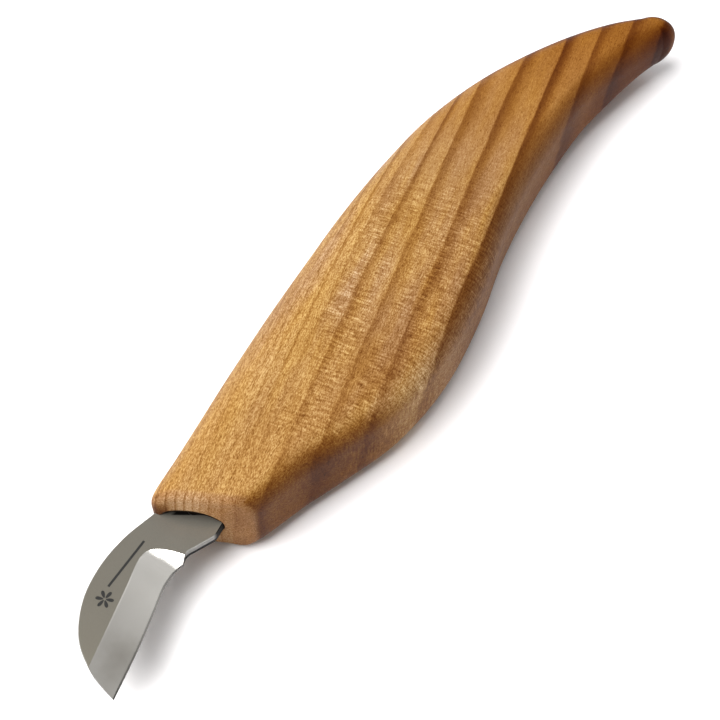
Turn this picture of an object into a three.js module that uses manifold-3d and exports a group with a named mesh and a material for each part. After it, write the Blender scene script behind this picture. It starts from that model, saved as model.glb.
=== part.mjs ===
// A whittling knife lying on its side: a short hooked blade whose tang is bedded in a shaped
// hardwood handle. Millimetres, +Z up. X runs from the blade's tip to the handle's tail, Y from
// the cutting edge to the spine, and Z through the thickness. The pieces are drawn from the middle
// of the blade's root, on its mid-plane, and the whole knife is then moved so that the origin is
// under the middle of its box, on the surface that it lies on.

import * as THREE from 'three';
import { mergeVertices } from 'three/addons/utils/BufferGeometryUtils.js';
import Module from 'manifold-3d';

const wasm = await Module();
wasm.setup();

// ---- driving dimensions --------------------------------------------------------------------

const BLADE_THICKNESS = 2;
const EDGE_LAND = 0.16;            // thickness left at the cutting edge
const TANG_TIP_X = 50;             // how far the tang reaches into the handle
const TANG_TIP_RADIUS = 1.4;
const TANG_MIDDLE_Y = 2.1;         // middle of the tang's rounded tip
const TANG_ROOT_SPINE = [3, 4.3];  // where the tang's straight sides begin
const TANG_ROOT_BELLY = [1.8, 1.0];

const SLOT_HALF_HEIGHT = 1.3;      // the slot in the handle, above and below the mid-plane
const SLOT_CLEARANCE = 0.6;        // between the tang's edges and the slot's side walls
const BEDDING_FRONT_X = 8;         // the adhesive fills the slot from here to its end
const MOUTH_MIDDLE_Y = -0.7;       // the slot's oval mouth, beside the tang
const MOUTH_HALF_WIDTH = 4.35;
const MOUTH_HALF_HEIGHT = 3.9;

const FULL_THICKNESS = 19;         // of the handle's swell, whose two sides are flat
const NOSE_ROUNDING = 2;           // round edge between the nose face and the sides
const TAIL_CAP_LENGTH = 4.8;
const TAIL_CAP_DROP = 2.2;         // how far the tail's end leans towards the belly side

// Handle sections from the nose face to the tail. Each is a rounded box that stands on edge
// between a point of the spine side and a point of the belly side: [x, y], [x, y], thickness.
const SECTIONS = [
  [[-3.1, 5.0], [6.0, -8.7], 15.8],
  [[-0.6, 6.1], [8.0, -9.3], 16.6],
  [[5.0, 7.3], [11.6, -9.9], 17.6],
  [[12.5, 9.1], [17.0, -10.8], 18.6],
  [[22.0, 11.5], [24.0, -12.5], FULL_THICKNESS],
  [[34.0, 14.3], [35.5, -14.7], FULL_THICKNESS],
  [[47.0, 16.9], [49.0, -14.1], FULL_THICKNESS],
  [[60.0, 19.3], [63.0, -10.5], FULL_THICKNESS],
  [[73.0, 20.9], [75.5, -5.8], FULL_THICKNESS],
  [[86.0, 21.5], [87.5, -2.4], 18.8],
  [[99.0, 20.2], [99.5, 0.0], 17.8],
  [[111.0, 17.4], [110.5, 1.3], 16.3],
  [[121.1, 14.1], [119.9, 1.0], 14.9],
  [[128.8, 10.6], [127.9, 0.3], 13.3],
  [[134.2, 6.8], [133.9, -0.6], 11.8],
];

// Corner shapes of a section, as a part of its half width and half thickness, with a largest
// value in millimetres. The spine side is softly rounded and the belly side has a tighter ridge.
const SPINE_CORNER = { across: 0.62, acrossMax: 8.5, through: 0.72 };
const BELLY_CORNER = { across: 0.40, acrossMax: 4.6, through: 0.55 };

// Towards the tail the corners grow until the section is nearly an oval.
const OVAL_START = 0.72;
const OVAL_CORNER = 0.92;

// Blade outlines on the mid-plane.
const SPINE_LINE = [[-27.9, -11.9], [-27.6, -8.8], [-27.0, -5.8], [-25.4, -2.2], [-22.8, 0.7],
  [-19.0, 3.2], [-14.0, 4.8], [-8.5, 5.25], [-2.9, 4.65]];
const EDGE_LINE = [[-27.9, -11.9], [-21.0, -9.5], [-15.0, -7.1], [-10.8, -5.3], [-8.4, -4.75],
  [-7.5, -4.68], [-6.9, -4.66], [-6.3, -4.65], [-5.8, -4.67]];
const GRIND_LINE = [[-27.0, -5.8], [-20.2, -3.2], [-14.2, -0.9], [-10.4, 0.65], [-8.7, 0.95],
  [-7.4, 0.6], [-6.3, -0.6], [-5.4, -2.1], [-4.6, -4.0]];
const NOTCH = { from: [-4.6, -4.0], peak: [-3.8, -3.9], to: [-2.9, -4.3] };
const RICASSO_CORNER = [0.8, -5.45];
const SHOULDER_LINE = [TANG_ROOT_BELLY, [1.1, 0.6], [1.15, -0.1], [1.9, -0.95], [2.7, -2.3], [3.35, -4.85]];

// How finely the curves are divided.
const OUTLINE_STEPS = 32;
const HANDLE_RINGS = 56;
const CORNER_STEPS = 8;
const CAP_STEPS = 7;

// ---- small helpers -------------------------------------------------------------------------

const vector = ([x, y]) => new THREE.Vector2(x, y);
const curve = (points) => new THREE.SplineCurve(points.map(vector));

// A triangle mesh as a solid that can be joined and cut.
function solid(geometry) {
  const bare = geometry.clone();
  bare.deleteAttribute('normal');
  bare.deleteAttribute('uv');
  const merged = mergeVertices(bare, 1e-5);
  return new wasm.Manifold(new wasm.Mesh({
    numProp: 3,
    vertProperties: Float32Array.from(merged.attributes.position.array),
    triVerts: Uint32Array.from(merged.index.array),
  }));
}

// The triangle mesh of a solid.
function geometryOf(body) {
  const mesh = body.getMesh();
  const geometry = new THREE.BufferGeometry();
  geometry.setAttribute('position', new THREE.BufferAttribute(mesh.vertProperties, 3));
  geometry.setIndex(new THREE.BufferAttribute(mesh.triVerts, 1));
  geometry.computeVertexNormals();
  return geometry;
}

// A flat outline made into a plate that reaches the same distance above and below the mid-plane.
function plate(points, halfHeight) {
  const shape = new THREE.Shape(points);
  const geometry = new THREE.ExtrudeGeometry(shape, { depth: 2 * halfHeight, bevelEnabled: false });
  return geometry.translate(0, 0, -halfHeight);
}

// A closed skin through rings of points. Every ring has the same number of points, and both ends
// are closed by a fan around the middle of the last ring.
function skin(rings) {
  const count = rings[0].length;
  const points = rings.flat();
  const triangles = [];
  for (let ring = 0; ring + 1 < rings.length; ring += 1) {
    for (let i = 0; i < count; i += 1) {
      const here = ring * count + i;
      const next = ring * count + (i + 1) % count;
      triangles.push(here, next, here + count, next, next + count, here + count);
    }
  }
  const middleOf = (ring) => ring.reduce((sum, p) => sum.add(p), new THREE.Vector3())
    .divideScalar(count);
  const firstMiddle = points.push(middleOf(rings[0])) - 1;
  const lastMiddle = points.push(middleOf(rings[rings.length - 1])) - 1;
  const lastStart = (rings.length - 1) * count;
  for (let i = 0; i < count; i += 1) {
    const next = (i + 1) % count;
    triangles.push(firstMiddle, next, i);
    triangles.push(lastMiddle, lastStart + i, lastStart + next);
  }
  const geometry = new THREE.BufferGeometry();
  geometry.setFromPoints(points);
  geometry.setIndex(triangles);
  return geometry;
}

// ---- handle --------------------------------------------------------------------------------

const spineSide = curve(SECTIONS.map((section) => section[0]));
const bellySide = curve(SECTIONS.map((section) => section[1]));
const thicknesses = new THREE.SplineCurve(
  SECTIONS.map((section, i) => new THREE.Vector2(i, section[2])),
);

// One corner of a rounded box, as a quarter of an ellipse from startTurn on.
function corner(centreAcross, centreThrough, across, through, startTurn) {
  const points = [];
  for (let i = 0; i <= CORNER_STEPS; i += 1) {
    const turn = startTurn + (i / CORNER_STEPS) * (Math.PI / 2);
    points.push([centreAcross + across * Math.cos(turn), centreThrough + through * Math.sin(turn)]);
  }
  return points;
}

// A corner's part of the half width or half thickness at t.
function cornerShare(share, t) {
  return share + (OVAL_CORNER - share) * THREE.MathUtils.smoothstep(t, OVAL_START, 1);
}

// The ring at t, from 0 at the nose to 1 at the last section, made smaller by inset on all sides.
function ringAt(t, inset = 0) {
  const spine = spineSide.getPoint(t);
  const belly = bellySide.getPoint(t);
  const middle = spine.clone().add(belly).divideScalar(2);
  const across = spine.clone().sub(belly).normalize();
  const fullWidth = spine.distanceTo(belly) / 2;
  const fullHeight = Math.min(thicknesses.getPoint(t).y, FULL_THICKNESS) / 2;
  const width = fullWidth - inset;
  const height = fullHeight - inset;
  const spineShare = cornerShare(SPINE_CORNER.across, t);
  const bellyShare = cornerShare(BELLY_CORNER.across, t);
  const spineAcross = Math.min(spineShare * fullWidth, SPINE_CORNER.acrossMax) - inset;
  const bellyAcross = Math.min(bellyShare * fullWidth, BELLY_CORNER.acrossMax) - inset;
  const spineThrough = cornerShare(SPINE_CORNER.through, t) * fullHeight - inset;
  const bellyThrough = cornerShare(BELLY_CORNER.through, t) * fullHeight - inset;
  const flat = [
    ...corner(width - spineAcross, height - spineThrough, spineAcross, spineThrough, 0),
    ...corner(bellyAcross - width, height - bellyThrough, bellyAcross, bellyThrough, Math.PI / 2),
    ...corner(bellyAcross - width, bellyThrough - height, bellyAcross, bellyThrough, Math.PI),
    ...corner(width - spineAcross, spineThrough - height, spineAcross, spineThrough, 1.5 * Math.PI),
  ];
  return flat.map(([a, z]) => new THREE.Vector3(middle.x + across.x * a, middle.y + across.y * a, z));
}

// Where the nose's round edge ends, as a part of the way from the first section to the last.
const firstGap = vector(SECTIONS[0][0]).distanceTo(vector(SECTIONS[1][0]));
const roundingEnd = NOSE_ROUNDING / firstGap / (SECTIONS.length - 1);

// The nose face with its round edge: rings that start inset and widen to the full section.
function noseRings() {
  const rings = [];
  for (let i = 0; i < CAP_STEPS; i += 1) {
    const turn = (i / CAP_STEPS) * (Math.PI / 2);
    rings.push(ringAt(roundingEnd * (1 - Math.cos(turn)), NOSE_ROUNDING * (1 - Math.sin(turn))));
  }
  return rings;
}

// The rest of the handle up to the last section.
function bodyRings() {
  const rings = [];
  for (let i = 0; i <= HANDLE_RINGS; i += 1) {
    rings.push(ringAt(roundingEnd + (i / HANDLE_RINGS) * (1 - roundingEnd)));
  }
  return rings;
}

// The rounded tail: the last ring shrinks along a quarter of an ellipse.
function tailRings() {
  const last = ringAt(1);
  const middle = spineSide.getPoint(1).add(bellySide.getPoint(1)).divideScalar(2);
  const rings = [];
  for (let i = 1; i <= CAP_STEPS; i += 1) {
    const turn = (i / (CAP_STEPS + 0.3)) * (Math.PI / 2);
    const size = Math.cos(turn);
    const forward = Math.sin(turn);
    rings.push(last.map((p) => new THREE.Vector3(
      middle.x + (p.x - middle.x) * size + TAIL_CAP_LENGTH * forward,
      middle.y + (p.y - middle.y) * size - TAIL_CAP_DROP * forward,
      p.z * size,
    )));
  }
  return rings;
}

const uncutHandle = solid(skin([...noseRings(), ...bodyRings(), ...tailRings()]));

// ---- blade ---------------------------------------------------------------------------------

const spineLine = curve(SPINE_LINE);
const edgeLine = curve(EDGE_LINE);
const grindLine = curve(GRIND_LINE);

// The tang's rounded tip, as half a circle from the spine side to the belly side.
function tangTip() {
  const points = [];
  for (let i = 0; i <= CORNER_STEPS; i += 1) {
    const turn = Math.PI / 2 - (i / CORNER_STEPS) * Math.PI;
    points.push(new THREE.Vector2(
      TANG_TIP_X - TANG_TIP_RADIUS + TANG_TIP_RADIUS * Math.cos(turn),
      TANG_MIDDLE_Y + TANG_TIP_RADIUS * Math.sin(turn),
    ));
  }
  return points;
}

// The blade and tang in one outline, from the tip along the spine, round the tang, along the
// ricasso and its notch, and back along the cutting edge.
function bladeOutline() {
  const notch = new THREE.QuadraticBezierCurve(vector(NOTCH.to), vector(NOTCH.peak), vector(NOTCH.from));
  const outline = [
    ...spineLine.getPoints(OUTLINE_STEPS),
    vector(TANG_ROOT_SPINE),
    ...tangTip(),
    ...curve(SHOULDER_LINE).getPoints(2 * CORNER_STEPS),
    vector(RICASSO_CORNER),
    ...notch.getPoints(CORNER_STEPS),
    ...edgeLine.getPoints(OUTLINE_STEPS).reverse(),
  ];
  outline.pop();
  return outline;
}

// The steel ground away above one bevel: for each step along the edge, a section whose lower side
// runs from the grind line on the flat to the cutting edge and on past it. side is 1 or -1.
function bevelCutter(side) {
  const reach = 1.3;
  const clear = 2;
  const half = BLADE_THICKNESS / 2;
  const fall = half - EDGE_LAND / 2;
  const stations = [];
  for (let i = 0; i <= OUTLINE_STEPS; i += 1) {
    stations.push([grindLine.getPoint(i / OUTLINE_STEPS), edgeLine.getPoint(i / OUTLINE_STEPS)]);
  }
  const beyondTip = stations[0].map((p, i) => p.clone().multiplyScalar(2).sub(stations[1][i]));
  const heel = stations[OUTLINE_STEPS];
  const along = heel[1].clone().sub(heel[0]).normalize();
  const outward = new THREE.Vector2(-along.y, along.x).multiplyScalar(0.5);
  const beyondHeel = heel.map((p) => p.clone().add(outward));
  const rings = [beyondTip, ...stations, beyondHeel].map(([grind, edge]) => {
    const past = grind.clone().lerp(edge, reach);
    const ring = [
      new THREE.Vector3(grind.x, grind.y, side * half),
      new THREE.Vector3(past.x, past.y, side * (half - reach * fall)),
      new THREE.Vector3(past.x, past.y, side * clear),
      new THREE.Vector3(grind.x, grind.y, side * clear),
    ];
    return side > 0 ? ring.reverse() : ring;
  });
  return solid(skin(rings));
}

const bladeBody = solid(plate(bladeOutline(), BLADE_THICKNESS / 2))
  .subtract(bevelCutter(1))
  .subtract(bevelCutter(-1));

// ---- slot and bedding ----------------------------------------------------------------------

// The slot's plan from frontX to just past the tang's tip, narrowing with the tang.
function slotOutline(frontX) {
  const endX = TANG_TIP_X + SLOT_CLEARANCE;
  const spineSlope = (TANG_ROOT_SPINE[1] - TANG_MIDDLE_Y - TANG_TIP_RADIUS) / (TANG_ROOT_SPINE[0] - endX);
  const bellySlope = (TANG_ROOT_BELLY[1] - TANG_MIDDLE_Y + TANG_TIP_RADIUS) / (TANG_ROOT_BELLY[0] - endX);
  const spineAt = (x) => TANG_ROOT_SPINE[1] + SLOT_CLEARANCE + spineSlope * (x - TANG_ROOT_SPINE[0]);
  const bellyAt = (x) => TANG_ROOT_BELLY[1] - SLOT_CLEARANCE + bellySlope * (x - TANG_ROOT_BELLY[0]);
  return [
    [frontX, bellyAt(frontX)],
    [endX, bellyAt(endX)],
    [endX, spineAt(endX)],
    [frontX, spineAt(frontX)],
  ].map(vector);
}

// The oval pocket that the blade's shoulder stands in, from in front of the nose to the bedding.
function mouthPocket(frontX) {
  const oval = new THREE.Shape();
  oval.absellipse(0, 0, MOUTH_HALF_HEIGHT, MOUTH_HALF_WIDTH, 0, 2 * Math.PI);
  const depth = BEDDING_FRONT_X - frontX;
  const pocket = new THREE.ExtrudeGeometry(oval, { depth, bevelEnabled: false, curveSegments: 16 });
  pocket.rotateY(Math.PI / 2);
  return solid(pocket.translate(frontX, MOUTH_MIDDLE_Y, 0));
}

const IN_FRONT_X = -8;
const handleBody = uncutHandle
  .subtract(solid(plate(slotOutline(IN_FRONT_X), SLOT_HALF_HEIGHT)))
  .subtract(mouthPocket(IN_FRONT_X));
const beddingBody = solid(plate(slotOutline(BEDDING_FRONT_X), SLOT_HALF_HEIGHT)).subtract(bladeBody);

// ---- the knife -----------------------------------------------------------------------------

function piece(name, body, colour, roughness, metalness) {
  const material = new THREE.MeshStandardMaterial({ color: colour, roughness, metalness });
  const mesh = new THREE.Mesh(geometryOf(body), material);
  mesh.name = name;
  return mesh;
}

const group = new THREE.Group();
group.add(piece('handle', handleBody, 0xb5814a, 0.5, 0));
group.add(piece('blade', bladeBody, 0x8d8a84, 0.35, 1));
group.add(piece('tang_adhesive', beddingBody, 0xcfc6a4, 0.4, 0));

const box = new THREE.Box3().setFromObject(group);
const boxMiddle = box.getCenter(new THREE.Vector3());
group.position.set(-boxMiddle.x, -boxMiddle.y, -box.min.z);

export default group;
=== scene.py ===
"""A whittling knife lying on its side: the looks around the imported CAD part.

Shapes are worked out in millimetres from the middle of the blade's root: X towards the tail, Y towards
the spine, Z up. They are moved into the part's frame, in metres, when their meshes are made.
"""

import math

import bmesh
import bpy
import numpy as np
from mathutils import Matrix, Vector
from mathutils.bvhtree import BVHTree


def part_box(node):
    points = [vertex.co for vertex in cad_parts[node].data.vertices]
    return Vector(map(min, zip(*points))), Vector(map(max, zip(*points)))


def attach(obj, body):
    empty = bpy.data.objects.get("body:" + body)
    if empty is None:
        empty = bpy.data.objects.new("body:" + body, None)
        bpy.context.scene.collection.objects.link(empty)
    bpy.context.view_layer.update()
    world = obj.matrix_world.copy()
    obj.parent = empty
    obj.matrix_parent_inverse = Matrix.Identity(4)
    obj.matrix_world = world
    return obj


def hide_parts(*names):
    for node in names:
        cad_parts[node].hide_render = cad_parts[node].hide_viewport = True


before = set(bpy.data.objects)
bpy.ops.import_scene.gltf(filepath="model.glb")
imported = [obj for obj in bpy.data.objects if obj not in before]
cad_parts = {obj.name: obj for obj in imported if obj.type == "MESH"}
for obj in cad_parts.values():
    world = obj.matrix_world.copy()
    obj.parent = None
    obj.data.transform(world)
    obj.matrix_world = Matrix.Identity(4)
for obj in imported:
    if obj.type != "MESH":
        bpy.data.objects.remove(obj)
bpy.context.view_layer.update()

MM = 0.001

# ---- dimensions, in millimetres ------------------------------------------------------------------

BLADE_TIP = (-27.9, -11.9)
BEVEL_FRONT = (-27.0, -5.8)     # where the bevel runs out into the blade's back
GRIND_BEND = (-10.4, 0.65)      # where the straight part of the grind line ends
HEEL = (-4.6, -4.0)             # where the bevel ends at the notch
BLADE_HALF = 1.0                # half the blade's thickness
EDGE_HALF = 0.05                # half the thickness at the cutting edge
MICRO_BEVEL = 0.05              # part of the bevel that is the steeper last stretch
MICRO_HALF = 0.13               # half thickness where that stretch begins
BLADE_CHAMFER = 0.13            # softened edges of the steel sheet
CHAMFER_START = 0.7             # over this length they grow from nothing, at both ends
SHOULDER_ROUNDING = 0.3
RICASSO_ROUNDING = 0.4

# The plunge is the curved face between the bevel and the ricasso.
PLUNGE_START = 0.42             # part of the grind line in front of it
PLUNGE_SLOPE = 0.45
PLUNGE_FILLET = 0.20            # how softly it runs into the bevel
FILLET_START = 3.0              # over this length the softness grows, from the plunge's upper end
FILLET_LEAST = 0.02             # and it is never less than this share of itself

TANG_TIP_X = 50.0
TANG_TIP_RADIUS = 1.4
TANG_MIDDLE_Y = 2.1
TANG_ROOT_SPINE = (3.0, 4.3)
TANG_ROOT_BELLY = (1.8, 1.0)

SLOT_HALF_HEIGHT = 1.3
SLOT_CLEARANCE = 0.6
MOUTH_SLOT_HALF = 1.03          # the slot closes on the steel in front of the bedding
BEDDING_FRONT_X = 8.0
SLOT_OVERLAP = 1.0              # of the slot's two stretches
MOUTH_MIDDLE_Y = -0.7
MOUTH_HALF_WIDTH = 4.35
MOUTH_HALF_HEIGHT = 3.9
MOUTH_LIP = 0.2                 # rounding of the mouth's rim
MOUTH_WALL_DEPTH = 0.85         # how deep the mouth is along its wall
MOUTH_MIDDLE_DEPTH = 1.6        # and how deep in its middle
IN_FRONT_X = -8.0               # the cutters begin here, in front of the nose

FULL_THICKNESS = 19.0
NOSE_ROUNDING = 2.0
NOSE_CREASE = 0.8               # tighter rounding against the belly side
CREASE_START = 3.6              # the rounding tightens between these distances from the middle
CREASE_FULL = 6.8
NOSE_SLANT = math.radians(34)
NOSE_BULGE = 0.35
TAIL_CAP_LENGTH = 4.8
TAIL_CAP_DROP = 2.2

# Handle sections from the nose to the tail: a point of the spine side, a point of the belly side and
# the thickness there.
SECTIONS = [
    ((-3.1, 5.0), (6.0, -8.7), 15.8),
    ((-0.6, 6.1), (8.0, -9.3), 16.6),
    ((5.0, 7.3), (11.6, -9.9), 17.6),
    ((12.5, 9.1), (17.0, -10.8), 18.6),
    ((22.0, 11.5), (24.0, -12.5), FULL_THICKNESS),
    ((34.0, 14.3), (35.5, -14.7), FULL_THICKNESS),
    ((47.0, 16.9), (49.0, -14.1), FULL_THICKNESS),
    ((60.0, 19.3), (63.0, -10.5), FULL_THICKNESS),
    ((73.0, 20.9), (75.5, -5.8), FULL_THICKNESS),
    ((86.0, 21.5), (87.5, -2.4), 18.8),
    ((99.0, 20.2), (99.5, 0.0), 17.8),
    ((111.0, 17.4), (110.5, 1.3), 16.3),
    ((121.1, 14.1), (119.9, 1.0), 14.9),
    ((128.8, 10.6), (127.9, 0.3), 13.3),
    ((134.2, 6.8), (133.9, -0.6), 11.8),
]
SPINE_SIDE = [section[0] for section in SECTIONS]
BELLY_SIDE = [section[1] for section in SECTIONS]
THICKNESSES = [(section[2],) for section in SECTIONS]

# Corners: part of the half width, the largest value of that, part of the half height. Towards the
# tail they grow until the section is nearly an oval.
SPINE_CORNER = (0.62, 8.5, 0.72)
BELLY_CORNER = (0.40, 4.6, 0.55)
OVAL_START = 0.72               # part of the handle's length
OVAL_CORNER = 0.92              # part of the half width and of the half height

# Lines of the blade: its back, its cutting edge, where the bevel starts, the notch behind the heel, and
# the ricasso and shoulder up to the tang.
SPINE_LINE = [BLADE_TIP, (-27.6, -8.8), BEVEL_FRONT, (-25.4, -2.2), (-22.8, 0.7),
              (-19.0, 3.2), (-14.0, 4.8), (-8.5, 5.25), (-2.9, 4.65)]
EDGE_LINE = [BLADE_TIP, (-21.0, -9.5), (-15.0, -7.1), (-10.8, -5.3), (-8.4, -4.75),
             (-7.5, -4.68), (-6.9, -4.66), (-6.3, -4.65), (-5.8, -4.67)]
GRIND_LINE = [BEVEL_FRONT, (-20.2, -3.2), (-14.2, -0.9), GRIND_BEND, (-8.7, 0.95),
              (-7.4, 0.6), (-6.3, -0.6), (-5.4, -2.1), HEEL]
NOTCH = [HEEL, (-3.8, -3.9), (-2.9, -4.3)]
RICASSO_CORNER = (0.8, -5.45)
SHOULDER_LINE = [TANG_ROOT_BELLY, (1.1, 0.6), (1.15, -0.1), (1.9, -0.95), (2.7, -2.3), (3.35, -4.85)]
BEVEL_FRONT_SHARE = SPINE_LINE.index(BEVEL_FRONT) / (len(SPINE_LINE) - 1)

# Growth rings: the y at which each dark line crosses the section at GRAIN_MIDDLE_X, and how dark it is.
# They run along the handle with a slope towards the spine side. Those near that side bend back
# towards the belly by the square of the distance behind GRAIN_BEND_X, and all of them lean.
GRAIN_SLOPE = 0.355
GRAIN_MIDDLE_X = 40.0
GRAIN_BEND = 0.001
GRAIN_BEND_X = 35.0
GRAIN_BEND_HALF = 3.0           # the bending sets in over this distance on each side of y = 0
GRAIN_TILT = 0.06               # for each millimetre above GRAIN_LEVEL
GRAIN_LEVEL = 9.0
RINGS = [(-46.0, 0.55), (-39.5, 0.9), (-33.0, 0.9), (-26.5, 0.9), (-21.5, 0.8), (-15.3, 1.25),
         (-8.9, 0.85), (-2.9, 0.75), (2.4, 0.8), (6.1, 0.35), (8.2, 0.7), (10.3, 0.5), (11.6, 0.4),
         (12.8, 0.45), (14.2, 0.5), (15.6, 0.45), (17.2, 0.5), (19.0, 0.5), (21.0, 0.5)]
BELLY_FACING = -0.7             # a surface direction with less y than this faces the belly side

# A generic ornament etched into the upper flat.
ROSETTE_MIDDLE = (-17.8, 0.15)
PETALS = 6
PETAL_START = 0.18
PETAL_LENGTH = 1.3
PETAL_HALF_WIDTH = 0.27
PETAL_TAPER = 0.35              # how much wider the petals are towards their outer ends
LINE_START = (-16.0, 1.2)
LINE_END = (-7.0, 2.4)
LINE_HALF_WIDTH = 0.2
ORNAMENT_SINK = 0.05
ORNAMENT_RISE = 0.012

# Camera: where it is, which way it looks, its lens and its sensor.
CAMERA_SPOT = (-55.48, -82.81, 201.71)
CAMERA_FORWARD = (0.4046, 0.3422, -0.848)
CAMERA_LENS = 70.0
CAMERA_SENSOR = 36.0

# The middle of the blade's root, in metres in the part's frame.
blade_low, blade_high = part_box("blade")
ORIGIN = np.array([
    blade_low.x - BLADE_TIP[0] * MM,
    blade_low.y - BLADE_TIP[1] * MM,
    (blade_low.z + blade_high.z) / 2,
])


# ---- helpers for shapes ---------------------------------------------------------------------------

def eased(share):
    """A share from 0 to 1 that starts and ends gently."""
    return share * share * (3 - 2 * share)


def unit(vectors):
    """The same directions with a length of one."""
    return vectors / np.linalg.norm(vectors, axis=-1, keepdims=True)


def spline(points, t):
    """Catmull-Rom curve through the points; t runs from 0 to 1 and may be an array."""
    points = np.asarray(points, float)
    last = len(points) - 1
    place = np.clip(np.atleast_1d(t), 0, 1) * last
    start = np.minimum(place.astype(int), last - 1)
    w = (place - start)[:, None]
    before = points[np.maximum(start - 1, 0)]
    here = points[start]
    there = points[start + 1]
    beyond = points[np.minimum(start + 2, last)]
    leave = (there - before) / 2
    arrive = (beyond - here) / 2
    cubic = 2 * here - 2 * there + leave + arrive
    square = -3 * here + 3 * there - 2 * leave - arrive
    return cubic * w**3 + square * w**2 + leave * w + here


def to_frame(points):
    """Millimetres from the blade's root to metres in the part's frame."""
    return np.asarray(points, float) * MM + ORIGIN


def places_along(axis, places):
    """Places along one axis (0 x, 1 y, 2 z), from millimetres to metres in the part's frame."""
    return [place * MM + ORIGIN[axis] for place in places]


def mesh_object(name, points, faces):
    """A mesh object from points in millimetres."""
    mesh = bpy.data.meshes.new(name)
    mesh.from_pydata(to_frame(points).tolist(), [], faces)
    mesh.validate()
    made = bpy.data.objects.new(name, mesh)
    bpy.context.scene.collection.objects.link(made)
    return made


def ring_faces(rings, count):
    """Four-sided faces between rings of count points, pointing out when the rings run anticlockwise."""
    faces = []
    for ring in range(rings - 1):
        for i in range(count):
            here = ring * count + i
            following = ring * count + (i + 1) % count
            faces.append((here, following, following + count, here + count))
    return faces


def closed_skin(rings, first_middle, last_middle):
    """Points and faces of a closed skin through rings, with a fan at each end."""
    count = len(rings[0])
    points = np.concatenate([*rings, [first_middle], [last_middle]])
    faces = ring_faces(len(rings), count)
    first = len(rings) * count
    last_start = (len(rings) - 1) * count
    for i in range(count):
        following = (i + 1) % count
        faces.append((first, following, i))
        faces.append((first + 1, last_start + i, last_start + following))
    return points, faces


WELD_DISTANCE = 1e-7       # metres


def finish_mesh(made, sharp_degrees):
    """Smooth shading with sharp edges kept, and faces turned outwards."""
    work = bmesh.new()
    work.from_mesh(made.data)
    bmesh.ops.remove_doubles(work, verts=work.verts, dist=WELD_DISTANCE)
    bmesh.ops.recalc_face_normals(work, faces=work.faces)
    work.to_mesh(made.data)
    work.free()
    made.data.shade_smooth()
    made.data.set_sharp_from_angle(angle=math.radians(sharp_degrees))


def cut(body, cutter):
    """Takes the cutter's space out of the body."""
    modifier = body.modifiers.new("cut", "BOOLEAN")
    modifier.operation = "DIFFERENCE"
    modifier.solver = "EXACT"
    modifier.object = cutter
    modifier.material_mode = "TRANSFER"
    graph = bpy.context.evaluated_depsgraph_get()
    result = bpy.data.meshes.new_from_object(body.evaluated_get(graph))
    body.modifiers.clear()
    body.data = result
    bpy.data.objects.remove(cutter)


# ---- handle ---------------------------------------------------------------------------------------

CORNER_STEPS = 14
FLAT_STEPS = 10
HANDLE_RINGS = 230
NOSE_RINGS = 12
FACE_RINGS = 14
TAIL_RINGS = 22
MOUTH_STEPS = 96
LIP_RINGS = 6

# Each point of a ring lies between two points of the rounded box's corners. A corner is its side
# (1 spine, -1 belly) and its level (1 top, -1 bottom).
CORNERS = [(1, 1), (-1, 1), (-1, -1), (1, -1)]


def ring_plan():
    """For each point of a ring: two (side, level, turn) entries and the share of the second."""
    plan = []
    for number, (side, level) in enumerate(CORNERS):
        first_turn = number * math.pi / 2
        for i in range(CORNER_STEPS):
            turn = first_turn + i / CORNER_STEPS * math.pi / 2
            plan.append((side, level, turn, side, level, turn, 0.0))
        end = first_turn + math.pi / 2
        next_side, next_level = CORNERS[(number + 1) % len(CORNERS)]
        for i in range(FLAT_STEPS):
            plan.append((side, level, end, next_side, next_level, end, i / FLAT_STEPS))
    return np.array(plan).T


RING_PLAN = ring_plan()
RING_COUNT = RING_PLAN.shape[1]


def profile(t):
    """Ring points across the handle (towards the spine) and up, for one t per ring point."""
    spine = spline(SPINE_SIDE, t)
    belly = spline(BELLY_SIDE, t)
    width = np.linalg.norm(spine - belly, axis=1) / 2
    height = np.minimum(spline(THICKNESSES, t)[:, 0], FULL_THICKNESS) / 2
    ease = eased(np.clip((t - OVAL_START) / (1 - OVAL_START), 0, 1))

    def corner_point(side, level, turn):
        shares = np.where((side > 0)[:, None], SPINE_CORNER, BELLY_CORNER)
        across_share = shares[:, 0] + (OVAL_CORNER - shares[:, 0]) * ease
        through_share = shares[:, 2] + (OVAL_CORNER - shares[:, 2]) * ease
        across = np.minimum(across_share * width, shares[:, 1])
        through = through_share * height
        return np.stack([
            side * (width - across) + across * np.cos(turn),
            level * (height - through) + through * np.sin(turn),
        ], axis=1)

    first = corner_point(*RING_PLAN[0:3])
    second = corner_point(*RING_PLAN[3:6])
    share = RING_PLAN[6][:, None]
    return first * (1 - share) + second * share


def profile_normals(flat):
    """Outward directions of a ring's points in its own plane."""
    along = np.roll(flat, -1, axis=0) - np.roll(flat, 1, axis=0)
    return unit(np.stack([along[:, 1], -along[:, 0]], axis=1))


def ring(t, inset=0.0):
    """A ring of the handle in space; t and inset may have one value per ring point."""
    t = np.broadcast_to(np.asarray(t, float), RING_COUNT)
    inset = np.broadcast_to(np.asarray(inset, float), RING_COUNT)
    flat = profile(t)
    flat = flat - profile_normals(flat) * inset[:, None]
    spine = spline(SPINE_SIDE, t)
    belly = spline(BELLY_SIDE, t)
    plan = (spine + belly) / 2 + unit(spine - belly) * flat[:, :1]
    return np.column_stack([plan, flat[:, 1]])


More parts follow.
